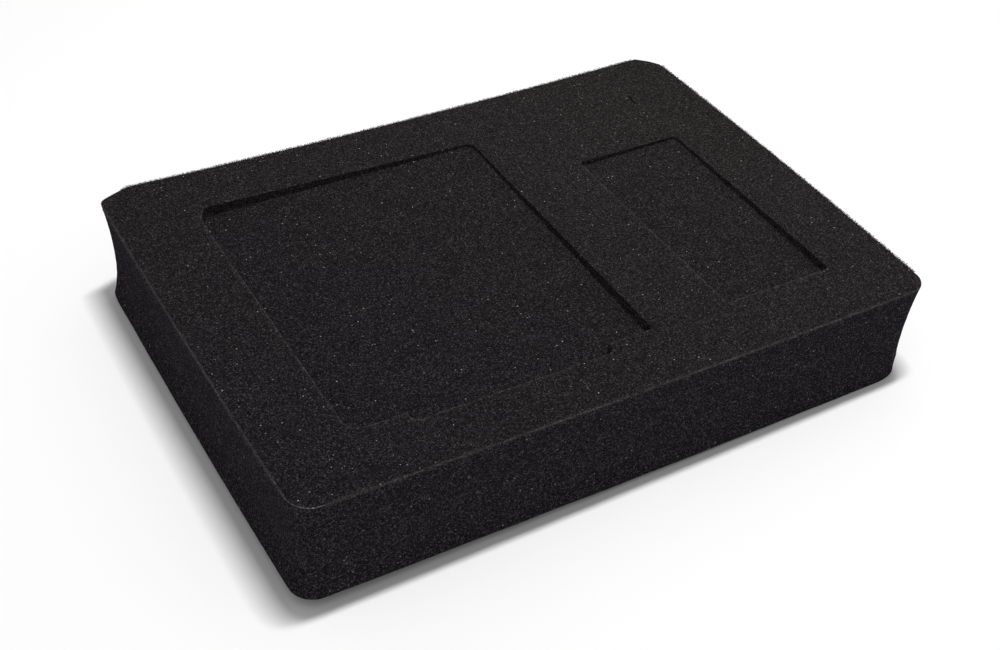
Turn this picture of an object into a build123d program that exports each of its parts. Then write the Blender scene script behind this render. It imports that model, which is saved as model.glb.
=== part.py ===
from build123d import *
import os

os.makedirs("parts", exist_ok=True)

# Case foam insert: one slab of open-cell foam with two shallow fitted pockets in its top face.
# Millimetres. The origin is on the base, at the middle of the slab. +Z is up, +X runs along
# the long side and -Y is the front, which is the side with the step in the wide pocket.

# slab, over its widest places
slab_length = 302.0
slab_width = 219.0
slab_height = 50.0

# In plan the sides are not quite straight: three of them bow out at mid length and the
# back one is hollow.
front_bow = 0.8
right_bow = 1.3
left_bow = 0.6
back_hollow = 2.8

# Foam is squeezed while it is cut and springs back, so each side wall is dished between
# its top and bottom edges.
waist_height = 20.0
front_dish = 1.6
right_dish = 1.8
left_dish = 2.6
back_dish = 2.4

# The four upright corners are trimmed off one by one, so no two are alike. Each has its
# cut along X, its cut along Y and how far the cut swells out of its chord.
front_left_cut = (9.5, 10.5, 2.7)
front_right_cut = (8.5, 8.5, 2.0)
back_right_cut = (9.5, 10.0, 0.8)
back_left_cut = (15.0, 6.0, 0.4)

# Both pockets start at the same distance from the front edge.
front_margin = 30.0

# wide pocket: its back edge is cut out of square, so its left side is longer
wide_left_margin = 35.5
wide_length = 138.0
wide_left_side = 158.4
wide_right_side = 154.0
wide_corner_radius = 3.2

# step in the front edge of the wide pocket
step_left_offset = 24.3
step_length = 91.7
step_reach = 5.5
step_corner_radius = 3.5

# narrow pocket
narrow_right_margin = 32.8
narrow_length = 55.2
narrow_side = 117.4
narrow_corner_radius = 1.2

# The pocket floors slope, and the pocket walls stand square to them. These are the depths
# below the top face at three corners of each pocket.
wide_back_left_depth = 5.6
wide_back_right_depth = 1.6
wide_front_right_depth = 5.0
narrow_back_left_depth = 2.4
narrow_back_right_depth = 1.7
narrow_front_right_depth = 4.2

# short slit in the top face, behind the narrow pocket
slit_right_margin = 33.5
slit_back_margin = 33.6
slit_length = 8.2
slit_width = 0.7
slit_depth = 3.0
slit_angle = 86.0

# edges of the slab where its corner cuts start, at the top and bottom faces
left_edge_x = -slab_length / 2 + left_bow
right_edge_x = slab_length / 2 - right_bow
front_edge_y = -slab_width / 2 + front_bow
back_edge_y = slab_width / 2


def slab_outline(dished):
    """Edges of the slab's plan, either at full size or pulled in by the side dishes."""
    pull = 1 if dished else 0
    left = left_edge_x + pull * left_dish
    right = right_edge_x - pull * right_dish
    front = front_edge_y + pull * front_dish
    back = back_edge_y - pull * back_dish
    middle_x = (left + right) / 2
    middle_y = (front + back) / 2
    with BuildLine() as outline:
        front_side = ThreePointArc(
            (left + front_left_cut[0], front),
            (middle_x, front - front_bow),
            (right - front_right_cut[0], front),
        )
        right_side = ThreePointArc(
            (right, front + front_right_cut[1]),
            (right + right_bow, middle_y),
            (right, back - back_right_cut[1]),
        )
        back_side = ThreePointArc(
            (right - back_right_cut[0], back),
            (middle_x, back - back_hollow),
            (left + back_left_cut[0], back),
        )
        left_side = ThreePointArc(
            (left, back - back_left_cut[1]),
            (left - left_bow, middle_y),
            (left, front + front_left_cut[1]),
        )
        SagittaArc(front_side @ 1, right_side @ 0, -front_right_cut[2])
        SagittaArc(right_side @ 1, back_side @ 0, -back_right_cut[2])
        SagittaArc(back_side @ 1, left_side @ 0, -back_left_cut[2])
        SagittaArc(left_side @ 1, front_side @ 0, -front_left_cut[2])
    return outline.edges()


def floor_plane(back_left, back_right, front_right):
    """Plane through three floor corners, with its normal pointing up."""
    to_right = Vector(back_right) - Vector(back_left)
    to_back = Vector(back_right) - Vector(front_right)
    return Plane(origin=back_right, x_dir=to_right, z_dir=to_right.cross(to_back))


# corners of the wide pocket
wide_left_x = left_edge_x + wide_left_margin
wide_right_x = wide_left_x + wide_length
pocket_front_y = front_edge_y + front_margin
wide_back_left_y = pocket_front_y + wide_left_side
wide_back_right_y = pocket_front_y + wide_right_side
wide_floor = floor_plane(
    (wide_left_x, wide_back_left_y, slab_height - wide_back_left_depth),
    (wide_right_x, wide_back_right_y, slab_height - wide_back_right_depth),
    (wide_right_x, pocket_front_y, slab_height - wide_front_right_depth),
)

with BuildPart() as wide_pocket:
    with BuildSketch(Plane.XY.offset(slab_height)):
        with BuildLine():
            step_left_x = wide_left_x + step_left_offset
            step_right_x = step_left_x + step_length
            step_front_y = pocket_front_y - step_reach
            Polyline(
                (wide_left_x, wide_back_left_y),
                (wide_left_x, pocket_front_y),
                (step_left_x, pocket_front_y),
                (step_left_x, step_front_y),
                (step_right_x, step_front_y),
                (step_right_x, pocket_front_y),
                (wide_right_x, pocket_front_y),
                (wide_right_x, wide_back_right_y),
                close=True,
            )
        make_face()
        outline = vertices()
        step_corners = outline.group_by(Axis.Y)[0]
        side_corners = outline.group_by(Axis.X)[0] + outline.group_by(Axis.X)[-1]
        fillet(step_corners, radius=step_corner_radius)
        fillet(side_corners, radius=wide_corner_radius)
    extrude(amount=slab_height, dir=wide_floor.z_dir, both=True)
    split(bisect_by=wide_floor, keep=Keep.TOP)

# corners of the narrow pocket
narrow_right_x = right_edge_x - narrow_right_margin
narrow_left_x = narrow_right_x - narrow_length
narrow_back_y = pocket_front_y + narrow_side
narrow_floor = floor_plane(
    (narrow_left_x, narrow_back_y, slab_height - narrow_back_left_depth),
    (narrow_right_x, narrow_back_y, slab_height - narrow_back_right_depth),
    (narrow_right_x, pocket_front_y, slab_height - narrow_front_right_depth),
)

with BuildPart() as narrow_pocket:
    with BuildSketch(Plane.XY.offset(slab_height)):
        with Locations((narrow_left_x, pocket_front_y)):
            Rectangle(narrow_length, narrow_side, align=(Align.MIN, Align.MIN))
        fillet(vertices(), radius=narrow_corner_radius)
    extrude(amount=slab_height, dir=narrow_floor.z_dir, both=True)
    split(bisect_by=narrow_floor, keep=Keep.TOP)

with BuildPart() as foam_insert:
    with BuildSketch(Plane.XY):
        make_face(slab_outline(dished=False))
    with BuildSketch(Plane.XY.offset(waist_height)):
        make_face(slab_outline(dished=True))
    with BuildSketch(Plane.XY.offset(slab_height)):
        make_face(slab_outline(dished=False))
    loft()
    add(wide_pocket.part, mode=Mode.SUBTRACT)
    add(narrow_pocket.part, mode=Mode.SUBTRACT)
    with BuildSketch(Plane.XY.offset(slab_height)):
        with Locations((right_edge_x - slit_right_margin, back_edge_y - slit_back_margin)):
            SlotOverall(slit_length, slit_width, rotation=slit_angle)
    extrude(amount=-slit_depth, mode=Mode.SUBTRACT)

foam_insert.part.label = "foam_insert"
export_step(foam_insert.part, "parts/foam_insert.step")
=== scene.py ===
import math
import random

import bpy
import numpy as np
from mathutils import Matrix, Vector, kdtree, noise
from mathutils.geometry import delaunay_2d_cdt


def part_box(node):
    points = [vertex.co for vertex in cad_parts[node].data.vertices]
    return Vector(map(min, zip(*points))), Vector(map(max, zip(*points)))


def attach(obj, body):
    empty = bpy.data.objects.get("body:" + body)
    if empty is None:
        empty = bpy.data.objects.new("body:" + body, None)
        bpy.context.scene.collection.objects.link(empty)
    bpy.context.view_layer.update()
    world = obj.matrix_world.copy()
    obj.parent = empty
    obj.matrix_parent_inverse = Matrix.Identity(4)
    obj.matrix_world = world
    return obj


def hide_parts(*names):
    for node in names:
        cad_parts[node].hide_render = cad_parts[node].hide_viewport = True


# Case foam insert: a slab of black open-cell foam with two shallow pockets. Metres, +Z up.
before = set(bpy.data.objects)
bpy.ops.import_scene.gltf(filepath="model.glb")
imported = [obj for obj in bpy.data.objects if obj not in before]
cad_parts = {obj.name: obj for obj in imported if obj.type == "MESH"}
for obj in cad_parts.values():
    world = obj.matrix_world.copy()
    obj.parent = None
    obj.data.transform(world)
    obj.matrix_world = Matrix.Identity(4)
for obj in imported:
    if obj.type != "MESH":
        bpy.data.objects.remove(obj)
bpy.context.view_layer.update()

SEED = 7
rng = random.Random(SEED)
MM = 0.001
UP = np.array([0.0, 0.0, 1.0])

# steps of the foam's mesh, and how much its cut edges are rounded
SURFACE_STEP = 1.3 * MM
BASE_STEP = 3.5 * MM
SLIT_STEP = 0.5 * MM
POCKET_WALL_STEPS = 7
ROUND_STEPS = 4
EASE_STEPS = 8
TOP_ROUND = 0.5 * MM
BASE_ROUND = 0.4 * MM
POCKET_ROUND = 0.4 * MM
SLIT_ROUND = 0.12 * MM

# An opening in the top face with a shorter edge than this is the slit.
SLIT_EDGE = 30 * MM

# A pocket has a corner where its edge turns by more than CORNER_TURN. The slab's plan has a kink
# where it turns by more than KINK_TURN, measured over KINK_REACH to each side. At any level, a kink
# lies within KINK_SHIFT of the same kink in the top face's edge.
CORNER_TURN = math.radians(60)
KINK_TURN = math.radians(25)
KINK_REACH = 2.5 * MM
KINK_SHIFT = 8 * MM

# Scattered points stray by a share of the step from a grid of even triangles, and keep a share of
# the step away from the edges. The rows of such a grid are closer than its points.
STRAY = 0.22
BORDER_GAP = 0.62
ROW_SHARE = math.sqrt(0.75)

# smallest distances that count, and how far up the normal of a pocket's floor points at least
WELD = 1e-7
SLIVER = 1e-5
MERGE = 1e-9
NOTHING = 1e-18
FLOOR_UPNESS = 0.9

# For delaunay_2d_cdt: gives all triangles, out to the convex hull.
HULL_TRIANGLES = 0

# roughness of the cut surface: cells, and slow waves left by the cutting wire
CELL_RELIEF = 0.07 * MM
CELL_PITCH = 1.6 * MM
CELL_SALT = 1.7
WAVE_RELIEF = 0.2 * MM
WAVE_PITCH = 28 * MM
WAVE_SALT = 5.1

# Small ways in which the cut foam leaves its plain solid: the dish of the sides is fullest nearer
# the base, the base is drawn in at its right corners and less at the back left, the trimmed corner
# at the back left is blunted, and three corners of the wide pocket are eased. Each ease reaches so
# far before the corner and so far after it, going anticlockwise.
SOLID_WAIST = 20 * MM
WAIST = 13 * MM
BASE_CORNER_REACH = 10 * MM
BASE_CORNER_FADE = 9 * MM
BACK_LEFT_SHARE = 0.5
BLUNT_REACH = 2.6 * MM
BLUNT_RANGE = 25 * MM
FRONT_LEFT_EASE = (6 * MM, 10 * MM)
BACK_LEFT_EASE = (8 * MM, 15 * MM)
BACK_RIGHT_EASE = (5 * MM, 5 * MM)

# struts of cut cells that stand out along the top edge, where the corners aren't trimmed
STRUT_PITCH = 0.4 * MM
STRUT_RADIUS = 0.045 * MM
STRUT_ROOT = 0.1 * MM
STRUT_HEIGHTS = (0.2 * MM, 0.9 * MM)
STRUT_TILTS = (math.radians(10), math.radians(40), math.radians(65), math.radians(85))
STRUT_SCATTER = 0.35
STRUT_SHARE = 0.9
LINK_SHARE = 0.35
TRIMMED_CORNER = 13 * MM

# Edges on the left and front, facing away from this direction, get a pale painted highlight. Pocket
# walls get a little painted light all round.
RIM_LIGHT_AWAY = np.array([0.7, 0.7, 0.0])
POCKET_RIM_LIGHT = 0.38
RIM_LIGHT_TAIL = 0.4
WALL_PAINTED_LIGHT = 0.16

# Cells of the foam as they show in its surface, the finer scatter of pale and dark struts, slow
# changes of tint, specks with a painted glint and the break-up of painted light along edges.
CELL = 0.85 * MM
SCATTER = 0.42 * MM
TINT_PITCH = 22 * MM
GLINT_PITCH = 1.1 * MM
BREAKUP_PITCH = 1.4 * MM
STRUT_GRAIN = 0.8 * MM

# Ramps, as positions from 0 to 1 with the value there: paleness by distance from a cell's edge and
# by each strut's own chance, and by noise the break-up of painted light on edges and the paleness
# of single struts.
EDGE_RAMP = [(0.0, 1.0), (0.25, 0.5), (0.55, 0.1)]
CHANCE_RAMP = [(0.0, 0.0), (0.6, 0.16), (0.9, 0.4), (0.97, 0.8), (1.0, 1.0)]
BREAKUP_RAMP = [(0.36, 0.1), (0.62, 1.0)]
GRAIN_RAMP = [(0.35, 0.0), (0.7, 1.0)]

# Shade of the cut top, from 0 to 1. It grows a little paler towards the back right, by the last
# setting
# below for each metre: a painted sheen of light. It varies with the tint, and is less in the pockets:
# painted shade in the recesses.
PAINTED_LIGHT_OFFSET = 0.52
TINT_SHADE = 0.3
POCKET_PAINTED_SHADE = -0.17
PAINTED_LIGHT_SLOPE = (2.27, 1.45, 0.0)

# A speck gets a painted glint if its chance is above the first number. Its radius is a share of
# GLINT_PITCH.
GLINT_CHANCE = 0.972
GLINT_RADIUS = 0.24

# linear colours of the foam's hollows and struts, with those of the top at shades 0 and 1, which
# carry painted shade at 0 and painted light at 1
TOP_HOLLOWS = ((0.0031, 0.0027, 0.0033), (0.0070, 0.0062, 0.0062))
TOP_STRUTS = ((0.070, 0.064, 0.073), (0.100, 0.092, 0.091))
WALL_HOLLOW = (0.0042, 0.0037, 0.0042)
WALL_STRUT = (0.124, 0.112, 0.126)
# colours of the painted light on edges and pocket walls
LIT_HOLLOW = (0.096, 0.088, 0.084)
LIT_STRUT = (0.30, 0.28, 0.27)
# colour of the painted glints
PAINTED_GLINT = (0.36, 0.345, 0.335)
LONE_STRUTS = ((0.018, 0.016, 0.016), (0.110, 0.103, 0.101))

# roughness and specular level of each finish, and the bump of the cells
FOAM_FINISH = (0.95, 0.0)
STRUT_FINISH = (0.8, 0.2)
FLOOR_FINISH = (0.9, 0.0)
BUMP_STRENGTH = 0.6
BUMP_DEPTH = 0.2 * MM

# The white sheet under the slab sags a little towards the front left, so that corner stands clear
# of it. From the first FLOOR_FADE distance to the second, it turns into the white backdrop.
FLOOR_COLOUR = (0.93, 0.93, 0.93)
FLOOR_HALF = 6.0
FLOOR_STEPS = 12
SAG = 5.2 * MM
SAG_CURVE = 1.3
BACK_SAG_SHARE = 0.3
FLOOR_FADE = (0.32, 1.1)

# soft light from all round, and a lamp above the right half of the slab
WORLD_STRENGTH = 0.40
KEY_PLACE = Vector((0.12, 0.0, 1.7))
KEY_TARGET = Vector((0.12, 0.0, 0.0))
KEY_SIZE = (0.4, 0.1)
KEY_POWER = 21.5

# camera at the photograph's angle, with its lens in millimetres
CAMERA_PLACE = Vector((-0.2892, -0.4514, 0.4447))
CAMERA_FORWARD = Vector((0.41433, 0.64956, -0.63750))
CAMERA_RIGHT = Vector((0.8656, -0.4977, 0.0554))
CAMERA_LENS = 54.34
CAMERA_SENSOR = 36.0
CAMERA_NEAR = 0.01


# loops of points

def lengths(loop):
    """Distance of each point of a closed loop from its first one, and the whole length."""
    steps = np.linalg.norm(np.roll(loop, -1, axis=0) - loop, axis=1)
    return np.concatenate([[0], np.cumsum(steps)])


def at(loop, places):
    """Points of a closed loop at these distances along it."""
    marks = lengths(loop)
    closed = np.vstack([loop, loop[:1]])
    places = np.mod(places, marks[-1])
    return np.stack([np.interp(places, marks, closed[:, axis]) for axis in range(3)], axis=1)


def area(loop):
    """Signed area of a loop in plan, positive if it runs anticlockwise."""
    after = np.roll(loop, -1, axis=0)
    return 0.5 * np.sum(loop[:, 0] * after[:, 1] - after[:, 0] * loop[:, 1])


def anticlockwise(loop):
    return loop if area(loop) > 0 else loop[::-1]


def turns(loop, reach):
    """Change of direction at each point, between the stretches one reach before and after."""
    marks = lengths(loop)[:-1]
    before = loop - at(loop, marks - reach)
    after = at(loop, marks + reach) - loop
    angle_before = np.arctan2(before[:, 1], before[:, 0])
    angle_after = np.arctan2(after[:, 1], after[:, 0])
    return np.abs((angle_after - angle_before + np.pi) % (2 * np.pi) - np.pi)


def outward(loop):
    """Unit directions in plan that point out of an anticlockwise loop."""
    tangent = np.roll(loop, -1, axis=0) - np.roll(loop, 1, axis=0)
    direction = np.stack([tangent[:, 1], -tangent[:, 0], np.zeros(len(loop))], axis=1)
    return direction / np.linalg.norm(direction, axis=1, keepdims=True)


def spaced(loop, stops, counts):
    """The loop with its points evenly spaced between the stops, which are kept."""
    total = lengths(loop)[-1]
    places = []
    for start, end, count in zip(stops, stops[1:] + [stops[0] + total], counts):
        places.append(start + (end - start) * np.arange(count) / count)
    return at(loop, np.concatenate(places))


def span_counts(loop, stops, step):
    """How many steps fit between each stop and the next."""
    total = lengths(loop)[-1]
    spans = np.diff(stops + [stops[0] + total])
    return [max(1, round(span / step)) for span in spans]


def softened(loop, reach, share):
    """The loop drawn by a share towards the average of its points up to so many places away."""
    shifts = range(-reach, reach + 1)
    average = sum(np.roll(loop, shift, axis=0) for shift in shifts) / len(shifts)
    return loop + share[:, None] * (average - loop)


def eased(loop, corner, before, after):
    """The loop with a curve across its corner, from a distance before it to a distance after it."""
    marks = lengths(loop)
    place = marks[np.argmin(np.linalg.norm(loop[:, :2] - corner, axis=1))]
    start, end = at(loop, [place - before, place + after])
    before_start, after_end = at(loop, [place - before - MM, place + after + MM])
    directions = np.stack([(start - before_start)[:2], (after_end - end)[:2]], axis=1)
    run = np.linalg.solve(directions, (end - start)[:2])[0]
    apex = start + run * (start - before_start)
    t = np.linspace(0, 1, EASE_STEPS + 1)[:, None]
    curve = (1 - t) ** 2 * start + 2 * t * (1 - t) * apex + t ** 2 * end
    offset = (marks[:-1] - place - after) % marks[-1]
    order = np.argsort(offset)
    kept = order[offset[order] < marks[-1] - before - after]
    return np.vstack([curve, loop[kept]])


def inside(points, loops):
    """Which points lie inside an odd number of the loops, in plan."""
    x, y = points[:, 0], points[:, 1]
    odd = np.zeros(len(points), bool)
    for loop in loops:
        for (ax, ay), (bx, by) in zip(loop[:, :2], np.roll(loop, -1, axis=0)[:, :2]):
            if ay == by:
                continue
            crossing = (ay > y) != (by > y)
            odd ^= crossing & (x < (bx - ax) * (y - ay) / (by - ay) + ax)
    return odd


# what fills the space between loops

def scattered_in(loops, step):
    """Points that fill what lies between the loops, at height 0."""
    rim_points = np.vstack(loops)
    tree = kdtree.KDTree(len(rim_points))
    for i, point in enumerate(rim_points):
        tree.insert((point[0], point[1], 0), i)
    tree.balance()
    low, high = rim_points.min(axis=0), rim_points.max(axis=0)
    row_pitch = step * ROW_SHARE
    scattered = []
    for j in range(int((high[1] - low[1]) / row_pitch) + 1):
        for i in range(int((high[0] - low[0]) / step) + 1):
            x = low[0] + (i + 0.5 * (j % 2) + rng.uniform(-STRAY, STRAY)) * step
            y = low[1] + j * row_pitch + rng.uniform(-STRAY, STRAY) * step
            scattered.append((x, y, 0.0))
    scattered = np.array(scattered)
    scattered = scattered[inside(scattered, loops)]
    clear = [tree.find((x, y, 0))[2] > BORDER_GAP * step for x, y, _ in scattered]
    return scattered[clear]


def fences_round(counts):
    """Directed edges round loops of so many points each, the outermost first. What lies between
    the loops is on their left."""
    fences = []
    start = 0
    for count in counts:
        fence = [(start + i, start + (i + 1) % count) for i in range(count)]
        fences += [(b, a) for a, b in fence] if fences else fence
        start += count
    return fences


def fenced_in(triangles, fences):
    """The triangles that are reached from the left of the fences with none crossed."""
    barred = set(fences) | {(b, a) for a, b in fences}
    owner = {}
    for i, (a, b, c) in enumerate(triangles):
        for edge in ((a, b), (b, c), (c, a)):
            owner[edge] = i
    reached = {owner[edge] for edge in fences}
    waiting = list(reached)
    while waiting:
        a, b, c = triangles[waiting.pop()]
        for edge in ((b, a), (c, b), (a, c)):
            beyond = owner.get(edge)
            if edge not in barred and beyond is not None and beyond not in reached:
                reached.add(beyond)
                waiting.append(beyond)
    return [triangles[i] for i in sorted(reached)]


def heights_on(plane, points):
    """Heights of a plane, given by its normal and one of its points, at these points in plan."""
    normal, origin = plane
    gaps = origin[:2] - points[:, :2]
    return origin[2] + gaps @ normal[:2] / normal[2]


# what the foam's shape is read from

class CadSurface:
    """Welded triangles of one CAD node, with the loops and planes that the foam follows."""

    def __init__(self, node):
        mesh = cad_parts[node].data
        corners = np.array([vertex.co for vertex in mesh.vertices], float)
        keys = np.round(corners / WELD).astype(np.int64)
        _, first, welded = np.unique(keys, axis=0, return_index=True, return_inverse=True)
        self.points = corners[first]
        self.triangles = welded.reshape(-1)[np.array([list(face.vertices) for face in mesh.polygons])]
        a, b, c = (self.points[self.triangles[:, i]] for i in range(3))
        self.normals = np.cross(b - a, c - a)
        self.normals /= np.maximum(np.linalg.norm(self.normals, axis=1, keepdims=True), NOTHING)
        self.centres = (a + b + c) / 3
        self.height = self.points[:, 2].max()

    def top_loops(self):
        """Outer edge of the top face and the edges of what is cut into it, largest first."""
        on_top = (self.points[self.triangles][:, :, 2] > self.height - SLIVER).all(axis=1)
        following = {}
        edges = set()
        for a, b, c in self.triangles[on_top]:
            edges |= {(a, b), (b, c), (c, a)}
        for a, b in edges:
            if (b, a) not in edges:
                following[a] = b
        loops = []
        while following:
            start, here = following.popitem()
            chain = [start]
            while here != start:
                chain.append(here)
                here = following.pop(here)
            loops.append(anticlockwise(self.points[chain]))
        return sorted(loops, key=area, reverse=True)

    def floor_under(self, loop):
        """Normal and one point of the floor that lies below an opening's edge."""
        below = self.centres[:, 2] < self.height - SLIVER
        chosen = below & (self.normals[:, 2] > FLOOR_UPNESS) & inside(self.centres, [loop])
        corners = self.points[self.triangles[chosen]]
        sized_normals = np.cross(corners[:, 1] - corners[:, 0], corners[:, 2] - corners[:, 0])
        normal = sized_normals.sum(axis=0)
        return normal / np.linalg.norm(normal), self.centres[chosen].mean(axis=0)

    def section(self, height):
        """Outer loop of the level section at this height, anticlockwise."""
        above = self.points[:, 2] > height
        corners_above = above[self.triangles]
        crossed = corners_above.any(axis=1) & ~corners_above.all(axis=1)
        neighbours = {}
        for triangle in self.triangles[crossed]:
            ends = []
            for a, b in zip(triangle, np.roll(triangle, -1)):
                if above[a] != above[b]:
                    ends.append((min(a, b), max(a, b)))
            neighbours.setdefault(ends[0], []).append(ends[1])
            neighbours.setdefault(ends[1], []).append(ends[0])
        loops = []
        while neighbours:
            here = next(iter(neighbours))
            chain = []
            while here in neighbours:
                chain.append(here)
                there = neighbours.pop(here)
                here = there[0] if there[0] in neighbours else there[1]
            low = self.points[[edge[0] for edge in chain]]
            high = self.points[[edge[1] for edge in chain]]
            share = (height - low[:, 2]) / (high[:, 2] - low[:, 2])
            loops.append(anticlockwise(low + share[:, None] * (high - low)))
        return max(loops, key=area)


# mesh of the foam

class Skin:
    """Points and triangles. Each point has its share of painted light and its shares in a wall and in
    a pocket.
    """

    def __init__(self):
        self.points = []
        self.edge = []
        self.wall = []
        self.pocket = []
        self.triangles = []

    def row(self, points, edge=0.0, wall=0.0, pocket=0.0):
        """Adds points. The edge is one value, or one for each point."""
        start = len(self.points)
        self.points.extend(map(tuple, points))
        self.edge.extend(np.broadcast_to(edge, len(points)))
        self.wall.extend([wall] * len(points))
        self.pocket.extend([pocket] * len(points))
        return list(range(start, start + len(points)))

    def strip(self, lower, upper):
        """Joins two closed rows of as many points. They run anticlockwise, seen from outside above."""
        count = len(lower)
        for i in range(count):
            a, b = lower[i], lower[(i + 1) % count]
            c, d = upper[(i + 1) % count], upper[i]
            if rng.random() < 0.5:
                self.triangles += [(a, b, c), (a, c, d)]
            else:
                self.triangles += [(a, b, d), (b, c, d)]

    def strips(self, rows):
        """Joins each row to the next."""
        for lower, upper in zip(rows, rows[1:]):
            self.strip(lower, upper)

    def sheet(self, borders, step, plane, facing_up=True, pocket=0.0):
        """Fills what lies between closed rows, the outermost first, with triangles on a plane."""
        loops = [np.array([self.points[i] for i in border]) for border in borders]
        scattered = scattered_in(loops, step)
        scattered[:, 2] = heights_on(plane, scattered)
        indices = sum(borders, []) + self.row(scattered, pocket=pocket)
        plan = [Vector((self.points[i][0], self.points[i][1])) for i in indices]
        fences = fences_round([len(border) for border in borders])
        _, _, faces, sources, _, _ = delaunay_2d_cdt(plan, fences, [], HULL_TRIANGLES, MERGE)
        faces = [tuple(sources[corner][0] for corner in face) for face in faces]
        for face in fenced_in(faces, fences):
            triangle = tuple(indices[i] for i in face)
            self.triangles.append(triangle if facing_up else triangle[::-1])


def rim_light_facing(away):
    """How much painted highlight edges that face these ways get, from 0 to 1."""
    return np.clip(-2 * away @ RIM_LIGHT_AWAY, 0, 1)


def kinks_of(loop):
    """Numbers of the points where a loop turns sharply, in order."""
    sharpness = turns(loop, KINK_REACH)
    kinks = []
    for i in np.argsort(-sharpness):
        apart = [np.linalg.norm(loop[i] - loop[k]) for k in kinks]
        if sharpness[i] > KINK_TURN and all(gap > 2 * KINK_REACH for gap in apart):
            kinks.append(i)
    return sorted(kinks)


def matched(loop, corners, counts):
    """The loop with points evenly spaced between its bends near these corners, first corner first."""
    places = lengths(loop)[:-1]
    bends = turns(loop, KINK_REACH)
    stops = []
    for corner in corners:
        near = np.linalg.norm(loop[:, :2] - corner[:2], axis=1) < KINK_SHIFT
        stops.append(places[np.argmax(np.where(near, bends, -1))])
    first = stops.index(min(stops))
    stops = stops[first:] + stops[:first]
    points = spaced(loop, stops, counts[first:] + counts[:first])
    return np.roll(points, sum(counts[:first]), axis=0)


def trimmed(points, level, half):
    """A level of the outer wall with its corners drawn in near the base, and the back left blunted."""
    back_left = np.linalg.norm(points[:, :2] - half[:2] * (-1, 1), axis=1) < BLUNT_RANGE
    rightness = np.clip(1 + 2 * points[:, 0] / half[0], 0, 1)
    drawn = np.maximum(rightness, BACK_LEFT_SHARE * back_left)
    lowness = max(0.0, 1 - level / BASE_CORNER_FADE)
    points = softened(points, round(BASE_CORNER_REACH / SURFACE_STEP), lowness * drawn)
    return softened(points, round(BLUNT_REACH / SURFACE_STEP), back_left.astype(float))


def wall_levels(height):
    """Levels up the outer wall, each with how far it is drawn in and how far its surface leans."""
    quarter = np.linspace(0, math.pi / 2, ROUND_STEPS + 1)
    wall_steps = round((height - TOP_ROUND - BASE_ROUND) / SURFACE_STEP)
    levels = []
    for lean in quarter[:0:-1]:
        levels.append((BASE_ROUND * (1 - math.sin(lean)), BASE_ROUND * (1 - math.cos(lean)), lean))
    for level in np.linspace(BASE_ROUND, height - TOP_ROUND, wall_steps + 1):
        levels.append((level, 0.0, 0.0))
    for lean in quarter[1:]:
        level = height - TOP_ROUND * (1 - math.sin(lean))
        levels.append((level, TOP_ROUND * (1 - math.cos(lean)), lean))
    return levels


def side_rows(skin, cad):
    """Rows of points up the outer wall. The first lies on the base and the last on the top face."""
    height = cad.height
    outline = cad.section(height - SLIVER)
    half = outline.max(axis=0)
    kinks = kinks_of(outline)
    marks = lengths(outline)
    counts = span_counts(outline, [marks[k] for k in kinks], SURFACE_STEP)
    rows = []
    for level, inset, lean in wall_levels(height):
        solid_level = np.interp(level, (0, WAIST, height), (0, SOLID_WAIST, height))
        loop = cad.section(min(max(solid_level, SLIVER), height - SLIVER))
        points = trimmed(matched(loop, outline[kinks], counts), level, half)
        away = outward(points)
        points = points - inset * away
        points[:, 2] = level
        on_rim = level > height / 2 and lean > 0
        # the rounded top edge gets a painted highlight where it faces the front left
        rim_light = math.sin(2 * lean) if on_rim else 0.0
        rows.append(skin.row(points, edge=rim_light * rim_light_facing(away), wall=0.0 if on_rim else 1.0))
    return rows


def eased_pocket(loop):
    """The wide pocket's edge, with the corners that aren't crisp eased."""
    low, high = loop.min(axis=0), loop.max(axis=0)
    front = loop[loop[:, 0] < low[0] + FRONT_LEFT_EASE[0]][:, 1].min()
    loop = eased(loop, (low[0], front), *FRONT_LEFT_EASE)
    loop = eased(loop, (low[0], high[1]), *BACK_LEFT_EASE)
    return eased(loop, (high[0], high[1]), *BACK_RIGHT_EASE)


def add_opening(skin, cad, loop):
    """Adds the rounded edge, wall and floor of a pocket or the slit, and gives the topmost row."""
    is_slit = lengths(loop)[-1] < SLIT_EDGE
    step = SLIT_STEP if is_slit else SURFACE_STEP
    radius = SLIT_ROUND if is_slit else POCKET_ROUND
    marks = lengths(loop)
    sharp = turns(loop, step)
    stops = [marks[i] for i in range(len(loop)) if sharp[i] > CORNER_TURN and not is_slit] or [0.0]
    rim = spaced(loop, stops, span_counts(loop, stops, step))
    away = outward(rim)
    normal, floor_point = cad.floor_under(loop)
    depth = ((rim - floor_point) @ normal)[:, None]
    # pocket rims that face the front left get a painted highlight, the slit none
    painted_light = rim_light_facing(away) * (0.0 if is_slit else POCKET_RIM_LIGHT)
    rows = []
    for t in np.linspace(math.pi / 2, 0, ROUND_STEPS + 1):
        out, down = radius * (1 - math.cos(t)), radius * (1 - math.sin(t))
        rim_light = math.sin(2 * t) + RIM_LIGHT_TAIL * math.sin(t)
        rows.append(skin.row(rim + out * away - down * normal, edge=rim_light * painted_light))
    for share in np.linspace(0, 1, POCKET_WALL_STEPS + 1)[1:]:
        upright = 1.0 if share < 1 and not is_slit else 0.0
        points = rim - (radius + share * (depth - radius)) * normal
        # pocket walls take the wall colour and a little painted light, lightening these shaded walls
        rows.append(skin.row(points, edge=WALL_PAINTED_LIGHT * upright, wall=upright, pocket=1.0))
    skin.strips(rows)
    skin.sheet([rows[-1]], step, (normal, floor_point), pocket=1.0)
    return rows[0]


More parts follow.
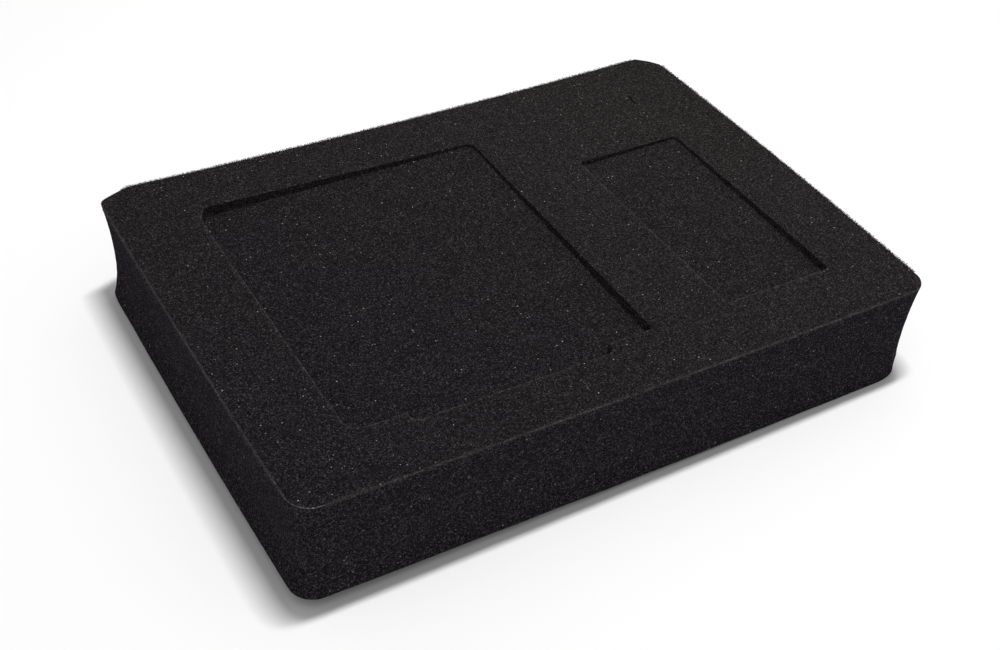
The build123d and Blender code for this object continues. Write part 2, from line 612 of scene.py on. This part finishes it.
def foam_skin(cad):
    """The whole surface of the foam, before its relief."""
    skin = Skin()
    sides = side_rows(skin, cad)
    skin.strips(sides)
    _, wide, *others = cad.top_loops()
    openings = [add_opening(skin, cad, loop) for loop in [eased_pocket(wide), *others]]
    skin.sheet([sides[-1]] + openings, SURFACE_STEP, (UP, cad.height * UP))
    skin.sheet([sides[0]], BASE_STEP, (UP, 0 * UP), facing_up=False)
    return skin


def rough(point, pitch, salt):
    """Smooth noise of about -1 to 1 with features of this pitch."""
    return noise.noise(Vector(point) / pitch + Vector((salt, 2 * salt, 3 * salt)))


def mesh_object(name, points, triangles):
    mesh = bpy.data.meshes.new(name)
    mesh.from_pydata([tuple(point) for point in points], [], triangles)
    mesh.validate()
    mesh.update()
    obj = bpy.data.objects.new(name, mesh)
    bpy.context.scene.collection.objects.link(obj)
    return obj


def build_foam(cad):
    """The foam's surface with its relief. The base stays flat."""
    skin = foam_skin(cad)
    foam = mesh_object("foam_slab", skin.points, skin.triangles)
    mesh = foam.data
    normals = [vertex.normal.copy() for vertex in mesh.vertices]
    for vertex, normal in zip(mesh.vertices, normals):
        relief = CELL_RELIEF * rough(vertex.co, CELL_PITCH, CELL_SALT)
        relief += WAVE_RELIEF * rough(vertex.co, WAVE_PITCH, WAVE_SALT)
        if vertex.co.z > SLIVER:
            vertex.co += relief * normal
            vertex.co.z = max(vertex.co.z, SLIVER)
    for name, values in (("cut_edge", skin.edge), ("wall", skin.wall), ("pocket", skin.pocket)):
        layer = mesh.attributes.new(name, "FLOAT", "POINT")
        layer.data.foreach_set("value", np.array(values, np.float32))
    mesh.polygons.foreach_set("use_smooth", [True] * len(mesh.polygons))
    return foam


# struts along the top edge

def prism(skin, start, end, radius):
    """Closed three-sided bar between two points."""
    axis = (end - start).normalized()
    across = axis.orthogonal().normalized()
    rings = []
    for centre in (start, end):
        ring = []
        for k in range(3):
            turned = Matrix.Rotation(2 * math.pi * k / 3, 3, axis) @ across
            ring.append(centre + radius * turned)
        rings.append(skin.row(ring))
    low, high = rings
    for k in range(3):
        a, b = low[k], low[(k + 1) % 3]
        c, d = high[(k + 1) % 3], high[k]
        skin.triangles += [(a, b, c), (a, c, d)]
    skin.triangles += [tuple(reversed(low)), tuple(high)]


def strut_roots(rim, away, tilt):
    """Where struts at about this tilt leave the rounded edge, and which way they point."""
    roots, directions = [], []
    for point, side in zip(rim, away):
        angle = tilt + rng.gauss(0, STRUT_SCATTER)
        direction = Vector(side) * math.cos(angle) + Vector((0, 0, math.sin(angle)))
        centre = Vector(point) - TOP_ROUND * (Vector(side) + Vector((0, 0, 1)))
        roots.append(centre + (TOP_ROUND - STRUT_ROOT) * direction)
        directions.append(direction)
    return roots, directions


def build_struts(cad):
    """Fuzz of cut cell walls: pairs of struts that meet at a tip, along the top edge of the slab."""
    skin = Skin()
    outline = cad.top_loops()[0]
    count = round(lengths(outline)[-1] / STRUT_PITCH)
    rim = at(outline, np.arange(count) * lengths(outline)[-1] / count)
    away = outward(rim)
    low, high = outline.min(axis=0), outline.max(axis=0)
    gaps = np.minimum(rim - low, high - rim)
    plain = gaps[:, 0] + gaps[:, 1] > TRIMMED_CORNER
    for tilt in STRUT_TILTS:
        roots, directions = strut_roots(rim, away, tilt)
        tips = []
        for i in range(count):
            j = (i + 1) % count
            height = rng.uniform(*STRUT_HEIGHTS) + STRUT_ROOT
            shift = Vector([rng.gauss(0, STRUT_SCATTER) for _ in range(3)]) * STRUT_PITCH
            tip = (roots[i] + roots[j]) / 2 + height * directions[i] + shift
            stands = plain[i] and plain[j] and rng.random() < STRUT_SHARE
            tips.append(tip if stands else None)
            if stands:
                prism(skin, roots[i], tip, STRUT_RADIUS)
                prism(skin, roots[j], tip, STRUT_RADIUS)
        for i in range(count):
            before, after = tips[i], tips[(i + 1) % count]
            if before and after and rng.random() < LINK_SHARE:
                prism(skin, before, after, STRUT_RADIUS)
    return mesh_object("edge_struts", skin.points, skin.triangles)


# Nodes of the materials. A source is a node with one of its outputs.

# sockets of a Mix node that carry colours
MIX_FIRST, MIX_SECOND, MIX_RESULT = 6, 7, 2


def new_material(name, roughness, specular):
    """A material with its node tree and its shader."""
    material = bpy.data.materials.new(name)
    material.use_nodes = True
    tree = material.node_tree
    shader = tree.nodes["Principled BSDF"]
    shader.inputs["Roughness"].default_value = roughness
    shader.inputs["Specular IOR Level"].default_value = specular
    return material, tree, shader


def wire(tree, source, node, socket):
    tree.links.new(source[0].outputs[source[1]], node.inputs[socket])


def attribute(tree, name):
    node = tree.nodes.new("ShaderNodeAttribute")
    node.attribute_name = name
    return node, "Fac"


def split_colour(tree, source):
    node = tree.nodes.new("ShaderNodeSeparateColor")
    wire(tree, source, node, "Color")
    return node


def ramp(tree, source, stops):
    """Greys at these positions, with even runs between them."""
    node = tree.nodes.new("ShaderNodeValToRGB")
    elements = node.color_ramp.elements
    while len(elements) < len(stops):
        elements.new(0.5)
    for element, (position, grey) in zip(elements, stops):
        element.position = position
        element.color = (grey, grey, grey, 1)
    wire(tree, source, node, "Fac")
    return node, "Color"


def texture(tree, coordinates, kind, size, **settings):
    """Node of a procedural texture with features of this size on the object."""
    node = tree.nodes.new(kind)
    for key, value in settings.items():
        setattr(node, key, value)
    node.inputs["Scale"].default_value = 1 / size
    wire(tree, (coordinates, "Object"), node, "Vector")
    return node


def vector_maths(tree, operation, source):
    node = tree.nodes.new("ShaderNodeVectorMath")
    node.operation = operation
    wire(tree, source, node, 0)
    return node


def maths(tree, operation, *values, clamp=False):
    """Result for values that are each a number or a source."""
    node = tree.nodes.new("ShaderNodeMath")
    node.operation = operation
    node.use_clamp = clamp
    for i, value in enumerate(values):
        if isinstance(value, tuple):
            wire(tree, value, node, i)
        else:
            node.inputs[i].default_value = value
    return node, "Value"


def mix_colours(tree, factor, first, second):
    """Mix of two colours that are each a colour or a source."""
    node = tree.nodes.new("ShaderNodeMix")
    node.data_type = "RGBA"
    wire(tree, factor, node, "Factor")
    for socket, value in ((MIX_FIRST, first), (MIX_SECOND, second)):
        if isinstance(value[0], bpy.types.Node):
            wire(tree, value, node, socket)
        else:
            node.inputs[socket].default_value = (*value, 1)
    return node, MIX_RESULT


def mix_shaders(tree, share, first, second, output):
    """Sends a share of the second shader, and the rest of the first, to the output node."""
    node = tree.nodes.new("ShaderNodeMixShader")
    wire(tree, share, node, "Fac")
    wire(tree, (first, 0), node, 1)
    wire(tree, (second, 0), node, 2)
    wire(tree, (node, 0), tree.nodes[output], "Surface")


def seen_share(tree):
    """Gives 1 to the camera, gloss and glass, and 0 to light that falls on the object."""
    path = tree.nodes.new("ShaderNodeLightPath")
    seen = maths(tree, "MAXIMUM", (path, "Is Camera Ray"), (path, "Is Glossy Ray"))
    return maths(tree, "MAXIMUM", seen, (path, "Is Transmission Ray"))


# materials

def cell_paleness(tree, coordinates):
    """0 in the hollows of the cells, up to 1 on the palest struts."""
    walls = texture(tree, coordinates, "ShaderNodeTexVoronoi", CELL, feature="DISTANCE_TO_EDGE")
    scatter = texture(tree, coordinates, "ShaderNodeTexVoronoi", SCATTER, feature="F1")
    chance = split_colour(tree, (scatter, "Color"))
    strut = ramp(tree, (walls, "Distance"), EDGE_RAMP)
    lightness = ramp(tree, (chance, "Red"), CHANCE_RAMP)
    return maths(tree, "MULTIPLY", strut, lightness)


def tint_and_painted_light(tree, coordinates):
    """Shade of the cut top and the pockets, from 0 to 1: tint, painted light to the back right,
    painted shade in pockets.
    """
    tint = texture(tree, coordinates, "ShaderNodeTexNoise", TINT_PITCH)
    slope = vector_maths(tree, "DOT_PRODUCT", (coordinates, "Object"))
    slope.inputs[1].default_value = PAINTED_LIGHT_SLOPE
    shade = maths(tree, "MULTIPLY_ADD", (tint, "Fac"), TINT_SHADE, (slope, "Value"))
    shade = maths(tree, "MULTIPLY_ADD", attribute(tree, "pocket"), POCKET_PAINTED_SHADE, shade)
    return maths(tree, "ADD", shade, PAINTED_LIGHT_OFFSET, clamp=True)


def painted_light_share(tree, coordinates):
    """How much painted light the foam gets, broken up along its edges and on pocket walls."""
    breakup = texture(tree, coordinates, "ShaderNodeTexNoise", BREAKUP_PITCH)
    broken_up = ramp(tree, (breakup, "Fac"), BREAKUP_RAMP)
    return maths(tree, "MULTIPLY", attribute(tree, "cut_edge"), broken_up)


def painted_glint_share(tree, coordinates):
    """Painted glints: small specks in a few cells, each as strong as its luck has it."""
    specks = texture(tree, coordinates, "ShaderNodeTexVoronoi", GLINT_PITCH, feature="F1")
    luck = split_colour(tree, (specks, "Color"))
    rare = maths(tree, "GREATER_THAN", (luck, "Red"), GLINT_CHANCE)
    near = maths(tree, "LESS_THAN", (specks, "Distance"), GLINT_RADIUS)
    glint = maths(tree, "MULTIPLY", rare, near)
    return maths(tree, "MULTIPLY", glint, (luck, "Green"))


def foam_material():
    """Charcoal open-cell foam: dark cells between thin struts, with painted light, shade and glints.
    """
    material, tree, shader = new_material("charcoal_foam", *FOAM_FINISH)
    coordinates = tree.nodes.new("ShaderNodeTexCoord")
    paleness = cell_paleness(tree, coordinates)
    # shade carries the random tint, painted light towards the back right and painted shade in the
    # pockets
    shade = tint_and_painted_light(tree, coordinates)
    wall = attribute(tree, "wall")
    hollow = mix_colours(tree, wall, mix_colours(tree, shade, *TOP_HOLLOWS), WALL_HOLLOW)
    strut = mix_colours(tree, wall, mix_colours(tree, shade, *TOP_STRUTS), WALL_STRUT)
    colour = mix_colours(tree, paleness, hollow, strut)
    # painted light on edges and pocket walls, mixed over the cells
    painted_light = mix_colours(tree, paleness, LIT_HOLLOW, LIT_STRUT)
    colour = mix_colours(tree, painted_light_share(tree, coordinates), colour, painted_light)
    colour = mix_colours(tree, painted_glint_share(tree, coordinates), colour, PAINTED_GLINT)
    wire(tree, colour, shader, "Base Color")

    bump = tree.nodes.new("ShaderNodeBump")
    bump.inputs["Strength"].default_value = BUMP_STRENGTH
    bump.inputs["Distance"].default_value = BUMP_DEPTH
    wire(tree, paleness, bump, "Height")
    wire(tree, (bump, "Normal"), shader, "Normal")
    return material


def strut_material():
    """The same foam in single struts, some of them paler."""
    material, tree, shader = new_material("charcoal_struts", *STRUT_FINISH)
    coordinates = tree.nodes.new("ShaderNodeTexCoord")
    grain = texture(tree, coordinates, "ShaderNodeTexNoise", STRUT_GRAIN)
    colour = mix_colours(tree, ramp(tree, (grain, "Fac"), GRAIN_RAMP), *LONE_STRUTS)
    wire(tree, colour, shader, "Base Color")
    return material


def floor_material():
    """White floor that keeps the shadow near the slab and runs out into the plain white backdrop."""
    material, tree, shader = new_material("white_floor", *FLOOR_FINISH)
    shader.inputs["Base Color"].default_value = (*FLOOR_COLOUR, 1)
    coordinates = tree.nodes.new("ShaderNodeTexCoord")
    distance = vector_maths(tree, "LENGTH", (coordinates, "Object"))
    fade = tree.nodes.new("ShaderNodeMapRange")
    fade.interpolation_type = "SMOOTHSTEP"
    fade.inputs["From Min"].default_value, fade.inputs["From Max"].default_value = FLOOR_FADE
    wire(tree, (distance, "Value"), fade, "Value")
    share = maths(tree, "MULTIPLY", (fade, "Result"), seen_share(tree))
    white = tree.nodes.new("ShaderNodeEmission")
    mix_shaders(tree, share, shader, white, "Material Output")
    return material


# floor, lights and camera

def build_floor():
    """White sheet. It meets the slab's base along the right, and sags below the front left corner."""
    low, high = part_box("foam_insert")
    across = [-FLOOR_HALF, *np.linspace(low.x, high.x, FLOOR_STEPS + 1), FLOOR_HALF]
    along = [-FLOOR_HALF, *np.linspace(low.y, high.y, FLOOR_STEPS + 1), FLOOR_HALF]
    points = []
    for y in along:
        frontness = min(max((high.y - y) / (high.y - low.y), 0), 1)
        for x in across:
            leftness = min(max((high.x - x) / (high.x - low.x), 0), 1)
            share = BACK_SAG_SHARE + (1 - BACK_SAG_SHARE) * frontness
            points.append((x, y, -SAG * leftness ** SAG_CURVE * share))
    row = len(across)
    faces = []
    for j in range(len(along) - 1):
        for i in range(row - 1):
            k = j * row + i
            faces.append((k, k + 1, k + row + 1, k + row))
    floor = mesh_object("floor", points, faces)
    floor.data.polygons.foreach_set("use_smooth", [True] * len(floor.data.polygons))
    floor.data.materials.append(floor_material())


def build_world():
    """Soft surrounding light. The camera, gloss and glass see plain white."""
    world = bpy.data.worlds.new("studio")
    bpy.context.scene.world = world
    world.use_nodes = True
    tree = world.node_tree
    light = tree.nodes["Background"]
    light.inputs["Color"].default_value = (1, 1, 1, 1)
    light.inputs["Strength"].default_value = WORLD_STRENGTH
    white = tree.nodes.new("ShaderNodeBackground")
    white.inputs["Color"].default_value = (1, 1, 1, 1)
    mix_shaders(tree, seen_share(tree), light, white, "World Output")


def build_key_lamp():
    data = bpy.data.lights.new("key", "AREA")
    data.shape = "RECTANGLE"
    data.size, data.size_y = KEY_SIZE
    data.energy = KEY_POWER
    lamp = bpy.data.objects.new("key", data)
    lamp.location = KEY_PLACE
    lamp.rotation_euler = (KEY_TARGET - KEY_PLACE).to_track_quat("-Z", "Y").to_euler()
    bpy.context.scene.collection.objects.link(lamp)


def build_camera():
    data = bpy.data.cameras.new("camera")
    data.sensor_width = CAMERA_SENSOR
    data.lens = CAMERA_LENS
    data.clip_start = CAMERA_NEAR
    camera = bpy.data.objects.new("camera", data)
    forward = CAMERA_FORWARD.normalized()
    up = CAMERA_RIGHT.normalized().cross(forward).normalized()
    right = forward.cross(up)
    turned = Matrix((right, up, -forward)).transposed().to_4x4()
    camera.matrix_world = Matrix.Translation(CAMERA_PLACE) @ turned
    bpy.context.scene.collection.objects.link(camera)
    bpy.context.scene.camera = camera


build_camera()
build_floor()
build_world()
build_key_lamp()

surface = CadSurface("foam_insert")
foam = build_foam(surface)
foam.data.materials.append(foam_material())
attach(foam, "root")
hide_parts("foam_insert")

struts = build_struts(surface)
struts.data.materials.append(strut_material())
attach(struts, "root")

bpy.context.scene.view_settings.view_transform = "Standard"
